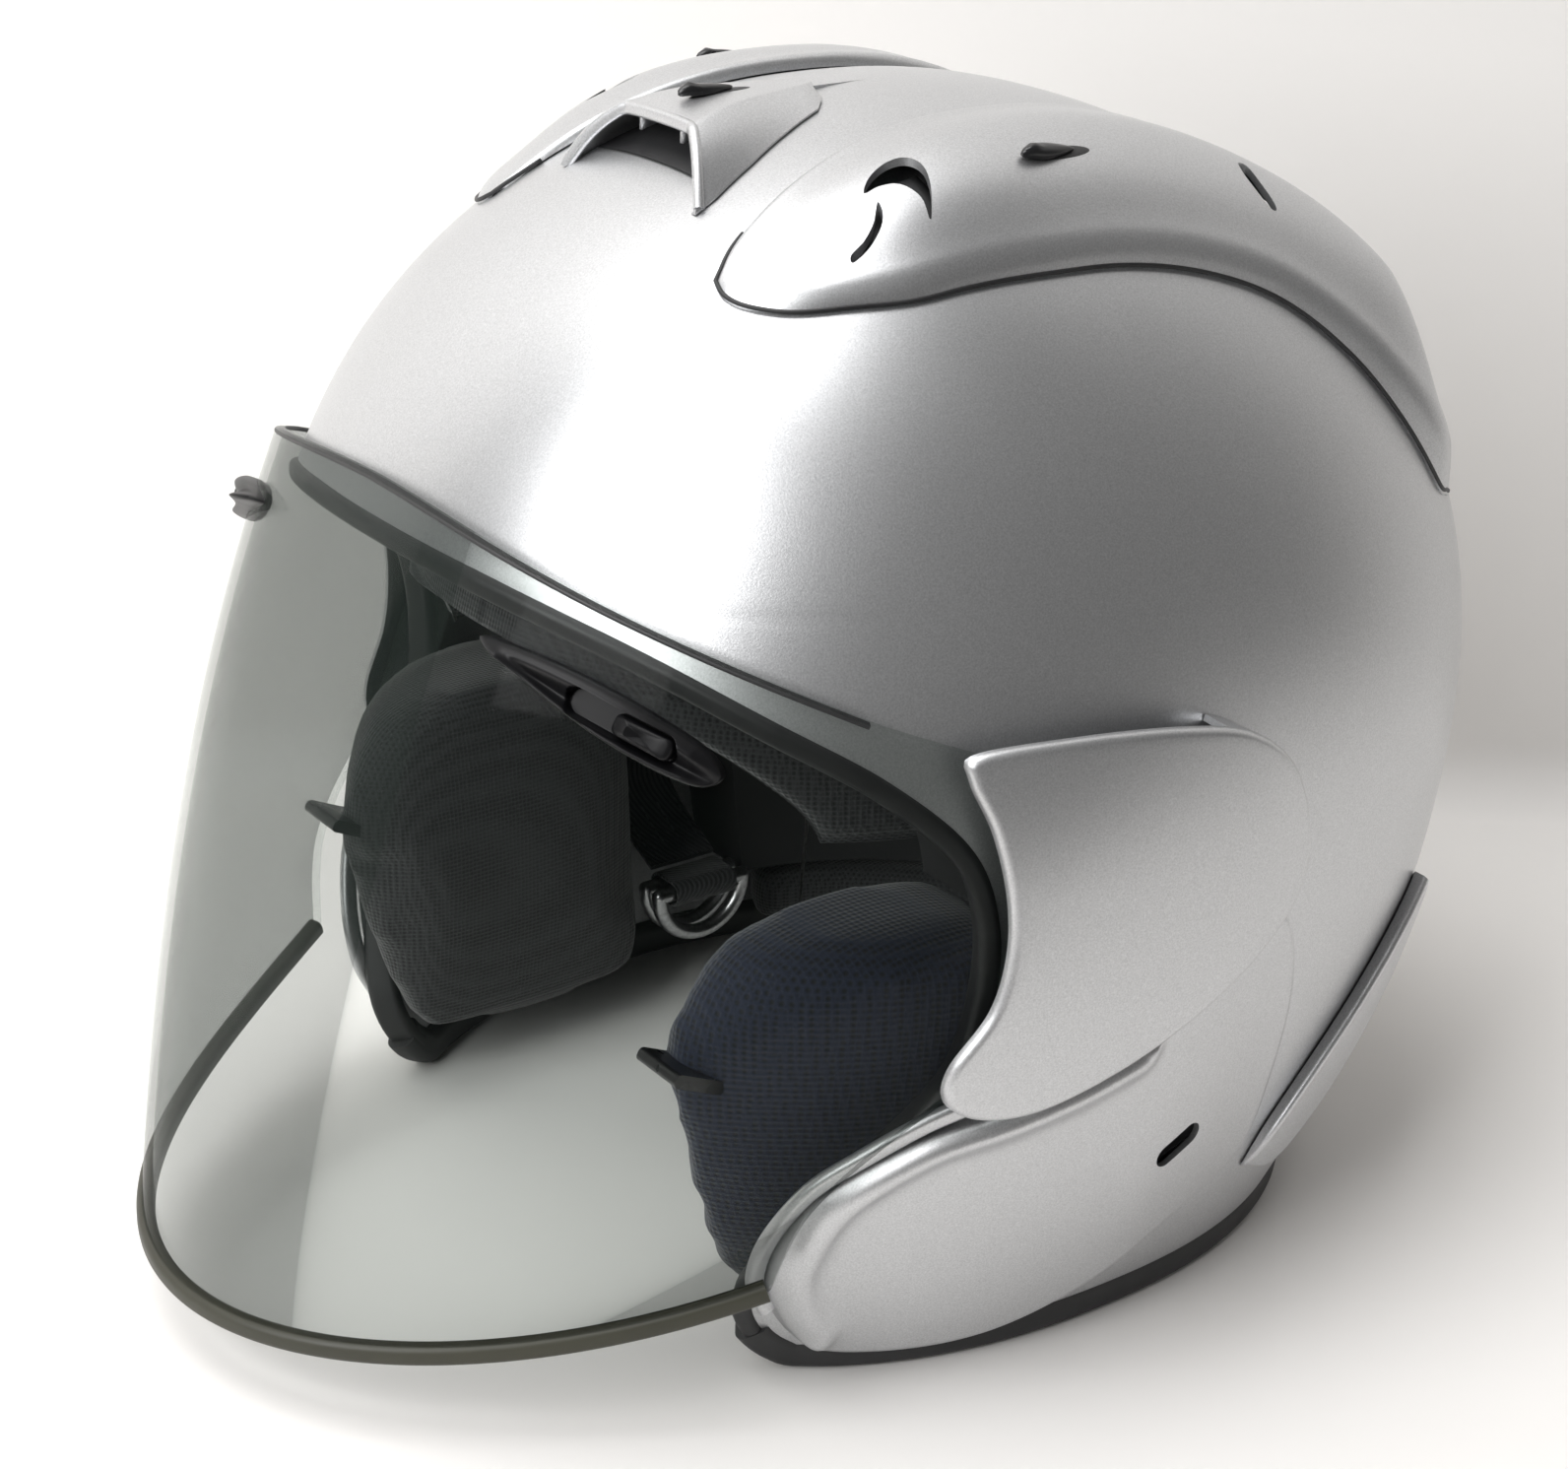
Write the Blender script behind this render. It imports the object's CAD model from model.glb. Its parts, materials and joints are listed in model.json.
import json
import math

import bmesh
import bpy
import numpy as np
from mathutils import Matrix, Vector


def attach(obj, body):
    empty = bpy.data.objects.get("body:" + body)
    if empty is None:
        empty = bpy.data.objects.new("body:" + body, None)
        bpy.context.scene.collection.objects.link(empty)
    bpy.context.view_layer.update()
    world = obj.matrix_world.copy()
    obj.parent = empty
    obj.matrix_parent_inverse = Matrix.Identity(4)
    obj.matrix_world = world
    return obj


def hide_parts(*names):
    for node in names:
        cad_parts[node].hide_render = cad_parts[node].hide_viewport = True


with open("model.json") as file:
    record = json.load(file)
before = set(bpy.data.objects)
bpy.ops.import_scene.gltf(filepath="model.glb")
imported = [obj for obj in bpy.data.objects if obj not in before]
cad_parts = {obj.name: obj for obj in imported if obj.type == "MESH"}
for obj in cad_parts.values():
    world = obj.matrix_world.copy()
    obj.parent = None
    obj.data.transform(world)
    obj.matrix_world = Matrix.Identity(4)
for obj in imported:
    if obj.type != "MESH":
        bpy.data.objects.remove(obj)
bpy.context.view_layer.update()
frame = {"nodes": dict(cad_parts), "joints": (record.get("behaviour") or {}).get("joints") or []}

# All layout below is in millimetres with x = 0 at the shield pivot, z = 0 on the floor.
PIVOT = next(j for j in frame["joints"] if j["name"] == "shield_lift")["pos_m"]
SHIFT = PIVOT[0]
PIVOT_Z = PIVOT[2] * 1000.0

# The outer shell: its reach at the widest level, that level, its top, and the powers of its two curves.
FRONT = 131.5
BACK = 143.0
SIDE = 121.0
WIDEST_Z = 122.0
CROWN_Z = 254.0
PLAN = 2.28
CROWN = 2.05

# Cutters go through one side of the helmet, from inside its wall to outside its widest cover.
CUT_NEAR = 100.0
CUT_FAR = 140.0


# ------------------------------------------------------------------ surfaces
def spow(base, power):
    return np.power(np.maximum(base, 0.0), power)


def section(z, h):
    """Front, back and side reach of the shell raised by h, at level z."""
    z = np.asarray(z, float)
    h = np.asarray(h, float)
    t = np.clip((z - WIDEST_Z) / (CROWN_Z + h - WIDEST_Z), 0.0, 1.0)
    upper = spow(1.0 - spow(t, CROWN), 1.0 / CROWN)
    low = np.clip((WIDEST_Z - z) / WIDEST_Z, 0.0, 2.0)
    scale = np.where(z >= WIDEST_Z, upper, 1.0 - 0.18 * spow(low, 2.2))
    rear = np.where(z >= WIDEST_Z, upper, 1.0 - 0.31 * spow(low, 1.8))
    return (FRONT + h) * scale, (BACK + h) * rear, (SIDE + h) * scale


def shell_at(angle, z, h):
    front, back, side = section(z, h)
    c = np.cos(angle)
    s = np.sin(angle)
    reach = np.where(c >= 0, front, back)
    r = spow(spow(np.abs(c) / reach, PLAN) + spow(np.abs(s) / side, PLAN), -1.0 / PLAN)
    return np.stack([r * c, r * s, np.broadcast_to(z, r.shape)], -1)


def on_side(x, z, h):
    """Left side of the raised shell at side-view point x, z."""
    front, back, side = section(z, h)
    reach = np.where(np.asarray(x) >= 0, front, back)
    part = spow(np.abs(x) / np.maximum(reach, 1e-6), PLAN)
    y = side * spow(1.0 - part, 1.0 / PLAN)
    return np.stack([np.broadcast_to(x, y.shape), y, np.broadcast_to(z, y.shape)], -1)


def on_top(x, y, h):
    """Upper half of the raised shell above plan point x, y."""
    x = np.asarray(x, float)
    y = np.asarray(y, float)
    h = np.broadcast_to(np.asarray(h, float), x.shape)
    reach = np.where(x >= 0, FRONT, BACK) + h
    total = spow(np.abs(x) / reach, PLAN) + spow(np.abs(y) / (SIDE + h), PLAN)
    scale = np.minimum(spow(total, 1.0 / PLAN), 1.0)
    t = spow(1.0 - spow(scale, CROWN), 1.0 / CROWN)
    return np.stack([x, y, WIDEST_Z + (CROWN_Z + h - WIDEST_Z) * t], -1)


def shield_section(z):
    u = (187.0 - z) / 172.0
    reach = 118.3 * (1 - u) * (1 - 2 * u) + 4 * 151.0 * u * (1 - u) + 172.4 * u * (2 * u - 1)
    side = 123.4 - 15.55 * ((z - 110.0) / 85.0) ** 2
    return 2.0 + 1.8 * u, reach, side, 2.37 - 0.36 * u


def shield_at(angle, z, h):
    middle, reach, side, power = shield_section(np.asarray(z, float))
    c = np.cos(angle)
    s = np.sin(angle)
    r = spow(spow(np.abs(c) / (reach + h), power) + spow(np.abs(s) / (side + h), power), -1.0 / power)
    return np.stack([middle + r * c, r * s, np.broadcast_to(z, r.shape)], -1)


# ------------------------------------------------------------------ curves
def unit(v):
    return v / np.linalg.norm(v)


def smooth_curve(points, count, closed=False):
    """Catmull-Rom curve through points, resampled evenly along its length."""
    p = np.asarray(points, float)
    n = len(p)
    if closed:
        ext = np.vstack([p[-1], p, p[0], p[1]])
        spans = n
    else:
        ext = np.vstack([2 * p[0] - p[1], p, 2 * p[-1] - p[-2]])
        spans = n - 1
    t = np.linspace(0, 1, 24, endpoint=False)[:, None]
    out = []
    for i in range(spans):
        a, b, c, d = ext[i], ext[i + 1], ext[i + 2], ext[i + 3]
        out.append(0.5 * (2 * b + (c - a) * t + (2 * a - 5 * b + 4 * c - d) * t ** 2
                          + (3 * b - a - 3 * c + d) * t ** 3))
    dense = np.vstack(out + [p[:1] if closed else p[-1:]])
    return resample(dense, count, closed)


def resample(dense, count, closed=False):
    step = np.linalg.norm(np.diff(dense, axis=0), axis=1)
    run = np.concatenate([[0], np.cumsum(step)])
    want = np.linspace(0, run[-1], count, endpoint=not closed)
    return np.stack([np.interp(want, run, dense[:, k]) for k in range(dense.shape[1])], -1)


def inward(outline, distance):
    """Closed 2-D outline moved towards its inside."""
    along = np.roll(outline, -1, 0) - np.roll(outline, 1, 0)
    along /= np.linalg.norm(along, axis=1)[:, None] + 1e-9
    area = np.sum(outline[:, 0] * np.roll(outline[:, 1], -1) - outline[:, 1] * np.roll(outline[:, 0], -1))
    normal = np.stack([-along[:, 1], along[:, 0]], -1) * (1.0 if area > 0 else -1.0)
    return outline + normal * distance


# ------------------------------------------------------------------ mesh building
def metres(points):
    p = np.asarray(points, float).reshape(-1, 3) / 1000.0
    p[:, 0] += SHIFT
    return p


def add_object(name, verts, faces, material, smooth=True):
    mesh = bpy.data.meshes.new(name)
    mesh.from_pydata([tuple(v) for v in metres(verts)], [], faces)
    mesh.validate()
    mesh.update()
    obj = bpy.data.objects.new(name, mesh)
    bpy.context.scene.collection.objects.link(obj)
    if material:
        mesh.materials.append(material)
    if smooth:
        mesh.shade_smooth()
    return obj


def grid_faces(rows, columns, wrap_rows=False, wrap_columns=False, start=0):
    faces = []
    for i in range(rows if wrap_rows else rows - 1):
        for j in range(columns if wrap_columns else columns - 1):
            i2 = (i + 1) % rows
            j2 = (j + 1) % columns
            faces.append((start + i * columns + j, start + i * columns + j2,
                          start + i2 * columns + j2, start + i2 * columns + j))
    return faces


def object_points(obj):
    flat = np.empty(len(obj.data.vertices) * 3)
    obj.data.vertices.foreach_get("co", flat)
    p = flat.reshape(-1, 3) * 1000.0
    p[:, 0] -= SHIFT * 1000.0
    return p


def set_points(obj, points):
    p = points / 1000.0
    p[:, 0] += SHIFT
    obj.data.vertices.foreach_set("co", p.reshape(-1))
    obj.data.update()


def tidy(obj, merge=0.02):
    """Welds seams and turns all faces outwards."""
    bm = bmesh.new()
    bm.from_mesh(obj.data)
    bmesh.ops.remove_doubles(bm, verts=bm.verts, dist=merge / 1000.0)
    bmesh.ops.recalc_face_normals(bm, faces=bm.faces)
    bm.to_mesh(obj.data)
    bm.free()
    obj.data.shade_smooth()
    return obj


def apply_modifiers(obj):
    bpy.context.view_layer.update()
    graph = bpy.context.evaluated_depsgraph_get()
    mesh = bpy.data.meshes.new_from_object(obj.evaluated_get(graph))
    old = obj.data
    obj.modifiers.clear()
    obj.data = mesh
    bpy.data.meshes.remove(old)
    return obj


def thicken(obj, thickness, offset=-1.0):
    mod = obj.modifiers.new("wall", "SOLIDIFY")
    mod.thickness = thickness / 1000.0
    mod.offset = offset
    mod.use_even_offset = False
    return apply_modifiers(obj)


def mirrored(obj, name):
    """Right-hand twin of a left-hand piece."""
    mesh = obj.data.copy()
    mesh.name = name
    for v in mesh.vertices:
        v.co.y = -v.co.y
    mesh.flip_normals()
    twin = bpy.data.objects.new(name, mesh)
    bpy.context.scene.collection.objects.link(twin)
    return twin


def place(obj, body, *nodes, slot=None):
    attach(obj, body)
    if nodes:
        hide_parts(*nodes)
    return obj


def place_pair(obj, twin_name, body, node, slot):
    """Places a left-hand piece and its right-hand twin."""
    twin = mirrored(obj, twin_name)
    place(obj, body, node + "_left", slot=slot)
    place(twin, body, node + "_right", slot=slot)


def sweep(name, path, ups, profile, material, closed=False, caps=True):
    """Closed profile (side, up) carried along a 3-D path."""
    path = np.asarray(path, float)
    ups = np.asarray(ups, float)
    if closed:
        along = np.roll(path, -1, 0) - np.roll(path, 1, 0)
    else:
        along = np.gradient(path, axis=0)
    along /= np.linalg.norm(along, axis=1)[:, None]
    side = np.cross(along, ups)
    side /= np.linalg.norm(side, axis=1)[:, None]
    up = np.cross(side, along)
    profile = np.asarray(profile, float)
    rings = path[:, None, :] + side[:, None, :] * profile[None, :, :1]
    rings = rings + up[:, None, :] * profile[None, :, 1:]
    m, n = len(path), len(profile)
    faces = grid_faces(m, n, closed, True)
    if caps and not closed:
        faces.append(tuple(range(n)))
        faces.append(tuple((m - 1) * n + k for k in reversed(range(n))))
    obj = add_object(name, rings.reshape(-1, 3), faces, material)
    return tidy(obj, 0.001)


def rounded_box(width, height, radius, steps=4):
    pts = []
    for cx, cy, start in ((1, 1, 0), (-1, 1, 90), (-1, -1, 180), (1, -1, 270)):
        for k in range(steps + 1):
            a = math.radians(start + 90 * k / steps)
            pts.append((cx * (width / 2 - radius) + radius * math.cos(a),
                        cy * (height / 2 - radius) + radius * math.sin(a)))
    return pts


def cut(obj, cutter):
    mod = obj.modifiers.new("cut", "BOOLEAN")
    mod.operation = "DIFFERENCE"
    mod.solver = "EXACT"
    mod.object = cutter
    apply_modifiers(obj)
    bpy.data.objects.remove(cutter)
    return obj


def sharp_smooth(obj, degrees=35):
    obj.data.shade_smooth()
    bm = bmesh.new()
    bm.from_mesh(obj.data)
    for e in bm.edges:
        if len(e.link_faces) == 2:
            e.smooth = e.calc_face_angle(0.0) < math.radians(degrees)
    bm.to_mesh(obj.data)
    bm.free()
    return obj


# ------------------------------------------------------------------ materials
def new_material(name):
    mat = bpy.data.materials.new(name)
    mat.use_nodes = True
    tree = mat.node_tree
    tree.nodes.clear()
    out = tree.nodes.new("ShaderNodeOutputMaterial")
    shader = tree.nodes.new("ShaderNodeBsdfPrincipled")
    tree.links.new(shader.outputs[0], out.inputs[0])
    coords = tree.nodes.new("ShaderNodeTexCoord")
    return mat, tree, shader, coords, out


def add_noise(tree, coords, scale, detail=2.0, roughness=0.5):
    node = tree.nodes.new("ShaderNodeTexNoise")
    node.inputs["Scale"].default_value = scale
    node.inputs["Detail"].default_value = detail
    node.inputs["Roughness"].default_value = roughness
    tree.links.new(coords.outputs["Object"], node.inputs["Vector"])
    return node


def add_ramp(tree, source, stops):
    ramp = tree.nodes.new("ShaderNodeValToRGB")
    while len(ramp.color_ramp.elements) < len(stops):
        ramp.color_ramp.elements.new(0.5)
    for element, (pos, colour) in zip(ramp.color_ramp.elements, stops):
        element.position = pos
        element.color = (*colour, 1.0) if len(colour) == 3 else colour
    tree.links.new(source, ramp.inputs[0])
    return ramp


def add_range(tree, source, low, high, from_low=0.3, from_high=0.7):
    node = tree.nodes.new("ShaderNodeMapRange")
    node.inputs["From Min"].default_value = from_low
    node.inputs["From Max"].default_value = from_high
    node.inputs["To Min"].default_value = low
    node.inputs["To Max"].default_value = high
    tree.links.new(source, node.inputs["Value"])
    return node


def add_bump(tree, source, shader, strength, distance):
    node = tree.nodes.new("ShaderNodeBump")
    node.inputs["Strength"].default_value = strength
    node.inputs["Distance"].default_value = distance
    tree.links.new(source, node.inputs["Height"])
    tree.links.new(node.outputs[0], shader.inputs["Normal"])
    return node


def silver_paint():
    """Frosted silver lacquer: fine metal flake, slight cloudiness, satin clear coat."""
    mat, tree, shader, coords, _ = new_material("silver_paint")
    flake = add_noise(tree, coords, 2600.0, 1.0, 0.6)
    cloud = add_noise(tree, coords, 9.0, 3.0, 0.5)
    mix = tree.nodes.new("ShaderNodeMath")
    mix.operation = "MULTIPLY_ADD"
    mix.inputs[1].default_value = 0.75
    tree.links.new(flake.outputs[0], mix.inputs[0])
    scaled = add_range(tree, cloud.outputs[0], 0.08, 0.18)
    tree.links.new(scaled.outputs[0], mix.inputs[2])
    ramp = add_ramp(tree, mix.outputs[0], [(0.25, (0.46, 0.465, 0.475)), (0.75, (0.66, 0.665, 0.675))])
    tree.links.new(ramp.outputs[0], shader.inputs["Base Color"])
    rough = add_range(tree, cloud.outputs[0], 0.36, 0.42)
    tree.links.new(rough.outputs[0], shader.inputs["Roughness"])
    shader.inputs["Metallic"].default_value = 0.9
    shader.inputs["Coat Weight"].default_value = 0.15
    shader.inputs["Coat Roughness"].default_value = 0.32
    add_bump(tree, flake.outputs[0], shader, 0.10, 0.0002)
    return mat


def plain_moulded(name, low, high, rough_low, rough_high, grain, bump, coat=0.0):
    """Moulded plastic or rubber with a fine grain and slight wear in its sheen."""
    mat, tree, shader, coords, _ = new_material(name)
    fine = add_noise(tree, coords, grain, 3.0, 0.6)
    wide = add_noise(tree, coords, 35.0, 4.0, 0.6)
    ramp = add_ramp(tree, wide.outputs[0], [(0.3, low), (0.75, high)])
    tree.links.new(ramp.outputs[0], shader.inputs["Base Color"])
    rough = add_range(tree, wide.outputs[0], rough_low, rough_high)
    tree.links.new(rough.outputs[0], shader.inputs["Roughness"])
    shader.inputs["Coat Weight"].default_value = coat
    shader.inputs["Coat Roughness"].default_value = 0.08
    add_bump(tree, fine.outputs[0], shader, bump, 0.0003)
    return mat


def clear_lens():
    """Clear polycarbonate with a faint green grey tint, fine hairline marks and a sharp gloss."""
    mat, tree, shader, coords, out = new_material("clear_shield")
    marks = add_noise(tree, coords, 60.0, 6.0, 0.7)
    rough = add_range(tree, marks.outputs[0], 0.015, 0.06)
    tree.links.new(rough.outputs[0], shader.inputs["Roughness"])
    shader.inputs["Base Color"].default_value = (0.020, 0.026, 0.023, 1.0)
    shader.inputs["IOR"].default_value = 1.5
    clear = tree.nodes.new("ShaderNodeBsdfTransparent")
    clear.inputs[0].default_value = (0.945, 0.958, 0.950, 1.0)
    fres = tree.nodes.new("ShaderNodeFresnel")
    fres.inputs["IOR"].default_value = 1.42
    share = add_range(tree, fres.outputs[0], 0.035, 0.5, 0.03, 1.0)
    mix = tree.nodes.new("ShaderNodeMixShader")
    tree.links.new(share.outputs[0], mix.inputs[0])
    tree.links.new(clear.outputs[0], mix.inputs[1])
    tree.links.new(shader.outputs[0], mix.inputs[2])
    tree.links.new(mix.outputs[0], out.inputs[0])
    return mat


def spacer_mesh(name, dark, light, cell=1.0):
    """Knitted spacer fabric: rows of small open cells over a darker backing."""
    mat, tree, shader, coords, _ = new_material(name)
    cells = tree.nodes.new("ShaderNodeTexVoronoi")
    cells.feature = "F1"
    cells.inputs["Scale"].default_value = 520.0 / cell
    cells.inputs["Randomness"].default_value = 0.15
    tree.links.new(coords.outputs["Object"], cells.inputs["Vector"])
    ramp = add_ramp(tree, cells.outputs["Distance"], [(0.28, dark), (0.5, light)])
    tree.links.new(ramp.outputs[0], shader.inputs["Base Color"])
    shader.inputs["Roughness"].default_value = 0.85
    shader.inputs["Sheen Weight"].default_value = 0.25
    shader.inputs["Sheen Roughness"].default_value = 0.5
    add_bump(tree, cells.outputs["Distance"], shader, 0.6, 0.0006)
    return mat


def webbing_material():
    mat, tree, shader, coords, _ = new_material("webbing")
    wave = tree.nodes.new("ShaderNodeTexWave")
    wave.inputs["Scale"].default_value = 420.0
    wave.inputs["Distortion"].default_value = 0.4
    wave.bands_direction = "DIAGONAL"
    tree.links.new(coords.outputs["Object"], wave.inputs["Vector"])
    ramp = add_ramp(tree, wave.outputs[1], [(0.2, (0.008, 0.008, 0.009)), (0.8, (0.035, 0.035, 0.038))])
    tree.links.new(ramp.outputs[0], shader.inputs["Base Color"])
    shader.inputs["Roughness"].default_value = 0.75
    shader.inputs["Sheen Weight"].default_value = 0.2
    add_bump(tree, wave.outputs[1], shader, 0.5, 0.0005)
    return mat


def brushed_steel():
    mat, tree, shader, coords, _ = new_material("steel")
    grain = add_noise(tree, coords, 900.0, 2.0, 0.7)
    ramp = add_ramp(tree, grain.outputs[0], [(0.3, (0.42, 0.42, 0.43)), (0.7, (0.62, 0.62, 0.63))])
    tree.links.new(ramp.outputs[0], shader.inputs["Base Color"])
    shader.inputs["Metallic"].default_value = 1.0
    shader.inputs["Roughness"].default_value = 0.28
    add_bump(tree, grain.outputs[0], shader, 0.15, 0.0001)
    return mat


SILVER = silver_paint()
BLACK_GLOSS = plain_moulded("black_plastic", (0.006, 0.006, 0.007), (0.014, 0.014, 0.015),
                            0.2, 0.36, 900.0, 0.03, 0.12)
VENT_BLACK = plain_moulded("black_vent", (0.003, 0.003, 0.0035), (0.008, 0.008, 0.009),
                           0.3, 0.45, 900.0, 0.03)
VENT_BLACK.node_tree.nodes["Principled BSDF"].inputs["Specular IOR Level"].default_value = 0.22
BLACK_RUBBER = plain_moulded("black_rubber", (0.010, 0.010, 0.011), (0.028, 0.028, 0.029),
                             0.42, 0.6, 700.0, 0.15)
OLIVE_RUBBER = plain_moulded("olive_rubber", (0.022, 0.022, 0.013), (0.040, 0.039, 0.024),
                             0.45, 0.6, 700.0, 0.12)
FOAM = plain_moulded("foam_liner", (0.008, 0.008, 0.009), (0.018, 0.018, 0.019), 0.8, 0.95, 380.0, 0.5)
MESH_GREY = spacer_mesh("mesh_fabric", (0.006, 0.006, 0.007), (0.028, 0.029, 0.031), 0.55)
MESH_NAVY = spacer_mesh("mesh_fabric_navy", (0.003, 0.004, 0.008), (0.010, 0.015, 0.034), 0.75)
WEBBING = webbing_material()
STEEL = brushed_steel()
LENS = clear_lens()


# ------------------------------------------------------------------ outlines shared by several pieces
EYE_EDGE = [(160, 183), (131, 178), (110, 169), (89, 155.5), (72, 144), (58, 130), (52.5, 115), (52, 98),
            (56, 79), (68, 61), (78, 45), (83.5, 31), (85, 20), (80, 9.5), (70, 2), (58, -6)]
FOOT_Z = 3.0


def eye_edge_left(count=150):
    """Edge of the eye port on the left half of the shell, from the middle of the brow to the foot."""
    flat = smooth_curve(EYE_EDGE, 1600)
    front = section(flat[:, 1], 0.0)[0]
    keep = (flat[:, 0] <= front) & (flat[:, 1] >= FOOT_Z)
    flat = flat[keep]
    edge = on_side(flat[:, 0], flat[:, 1], 0.0)
    start = edge[0].copy()
    start[0] = section(start[2], 0.0)[0]
    start[1] = 0.0
    return resample(np.vstack([start, edge]), count)


def outward_at(points, step=1.0):
    """Outward direction of the shell at points on it."""
    angle = np.arctan2(points[:, 1], points[:, 0])
    away = shell_at(angle, points[:, 2], step) - shell_at(angle, points[:, 2], 0.0)
    return away / np.linalg.norm(away, axis=1)[:, None]


EDGE = eye_edge_left()


# ------------------------------------------------------------------ hard shell
def build_shell():
    levels = []
    starts = []
    for x, y, z in EDGE[::-1]:
        if not levels or z > levels[-1] + 0.3:
            levels.append(z)
            starts.append(math.atan2(y, x))
    first = math.asin((levels[-1] - WIDEST_Z) / (CROWN_Z - WIDEST_Z))
    for t in np.linspace(first, math.pi / 2, 60)[1:]:
        levels.append(WIDEST_Z + (CROWN_Z - WIDEST_Z) * math.sin(t))
        starts.append(0.0)
    columns = 260
    rows = []
    u = np.linspace(0, 1, columns // 2 + 1)
    for z, start in zip(levels, starts):
        half = math.pi * u + max(start, 0.0) * (1 - u) ** 2
        angle = np.concatenate([half, 2 * math.pi - half[-2::-1]])
        rows.append(shell_at(angle, z, 0.0))
    columns = len(angle)
    obj = add_object("shell_skin", np.concatenate(rows), grid_faces(len(levels), columns), SILVER)
    tidy(obj, 0.002)
    thicken(obj, 3.9)
    sharp_smooth(obj, 40)
    return place(obj, "helmet", "outer_shell", slot="silver_paint")


build_shell()


def build_port_trim():
    keep = EDGE[EDGE[:, 2] > 7.0]
    whole = np.vstack([keep[::-1], (keep * [1, -1, 1])[1:]])
    whole = resample(whole, 260)
    ups = outward_at(whole)
    shape = [(x, y - 2.5) for x, y in rounded_box(4.6, 7.4, 1.6, 5)]
    obj = sweep("port_trim_seal", whole, ups, shape, BLACK_RUBBER)
    return place(sharp_smooth(obj, 50), "helmet", "eyeport_trim", slot="black_rubber")


build_port_trim()


def build_base_trim():
    """Rubber foot whose front ends turn up round the corner of the eye port."""
    low = EDGE[(EDGE[:, 2] > 3.2) & (EDGE[:, 2] < 12.0)]
    corner = low[::-1][low[::-1][:, 2].argsort()]
    start = math.atan2(corner[0][1], corner[0][0])
    angle = np.linspace(start, 2 * math.pi - start, 300)
    ring = shell_at(angle, 4.6, 0.0)
    turn = corner.copy()
    turn[:, 2] = np.maximum(turn[:, 2], 4.6)
    whole = resample(np.vstack([turn[::-1], ring[4:-4], turn * [1, -1, 1]]), 420)
    whole = whole + outward_at(whole) * -2.5
    obj = sweep("foot_trim", whole, outward_at(whole), rounded_box(8.8, 7.4, 2.6, 6), BLACK_RUBBER)
    p = object_points(obj)
    p[:, 2] = np.maximum(p[:, 2], 0.0)
    set_points(obj, p)
    return place(sharp_smooth(obj, 50), "helmet", "base_trim", slot="black_rubber")


build_base_trim()


# ------------------------------------------------------------------ raised covers
def radial_cover(name, outline, centre, lift, height, base, radius, material, wall=1.6, count=220, rings=26):
    """Cover with a rounded edge, laid over the shell inside a closed outline that its centre can see."""
    edge = smooth_curve(outline, count, closed=True)
    rows = []
    rows.append(lift(edge, base(edge)))
    rows.append(lift(edge, np.maximum(height(edge) - radius, base(edge) + 0.2)))
    for a in np.radians([20, 40, 60, 75, 90]):
        inner = inward(edge, radius * (1 - math.cos(a)))
        level = height(inner) - radius + radius * math.sin(a)
        rows.append(lift(inner, np.maximum(level, base(inner) + 0.2)))
    last = inward(edge, radius)
    c = np.asarray(centre, float)
    for t in np.linspace(0, 1, rings)[1:]:
        inner = last + (c - last) * t
        rows.append(lift(inner, height(inner)))
    obj = add_object(name, np.concatenate(rows), grid_faces(len(rows), count, False, True), material)
    tidy(obj, 0.01)
    if wall:
        thicken(obj, wall)
    return sharp_smooth(obj, 50)


def side_lift(points, h):
    return on_side(points[:, 0], points[:, 1], h)


POD = [(60, 154), (37, 154.5), (14, 152), (-3, 147), (-16, 136), (-23, 118), (-20, 106), (-7, 96), (10, 87),
       (28, 79.5), (45, 74.5), (57, 75), (64, 80), (64, 88), (57, 100), (54.5, 112), (55, 124), (58, 138),
       (62, 149)]


def pod_height(p):
    return 3.9 + 6.5 / (1.0 + np.exp(-(p[:, 0] + 19.0) / 8.4))


def pod_base(p):
    """The front and top of the pod stand clear of the shield that slides under them."""
    free = (p[:, 0] > 44) | ((p[:, 1] > 146) & (p[:, 0] > 4))
    return np.where(free, pod_height(p) - 2.2, 0.4)


pod = radial_cover("pod_left_cover", POD, (18, 117), side_lift, pod_height, pod_base, 1.5, SILVER, 1.4)
place_pair(pod, "pod_right_cover", "helmet", "side_pod", "silver_paint")

COWL = [(60, 5.5), (73, 9), (82, 23), (84, 37), (79, 54), (64, 67), (46, 72), (28, 76.8), (8, 84),
        (-10, 94), (-24, 98), (-31, 80), (-31, 55), (-27, 34), (-6, 24), (14, 13), (36, 6)]
COWL_EDGE = smooth_curve(COWL, 400, closed=True)
COWL_CREST = COWL_EDGE[(COWL_EDGE[:, 0] > 18) & ((COWL_EDGE[:, 1] > 40) | (COWL_EDGE[:, 0] > 76))]


def cowl_height(p):
    """A rolled bead runs just inside the front and upper edge, with a shallow hollow behind it.

    The rear of the cowl runs out flush with the shell.
    """
    gap = np.linalg.norm(p[:, None, :] - COWL_CREST[None, :, :], axis=2).min(1)
    bead = 3.0 * np.exp(-((gap - 3.4) / 3.4) ** 2)
    full = 3.7 + bead + 0.9 * np.exp(-((p[:, 0] - 5) / 30) ** 2 - ((p[:, 1] - 40) / 25) ** 2)
    fade = np.clip((p[:, 0] + 31.0) / 42.0, 0, 1)
    return 1.0 + (full - 1.0) * fade * fade * (3.0 - 2.0 * fade)


def cowl_base(p):
    return np.where(p[:, 1] < 12, 1.7, 0.4)


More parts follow.
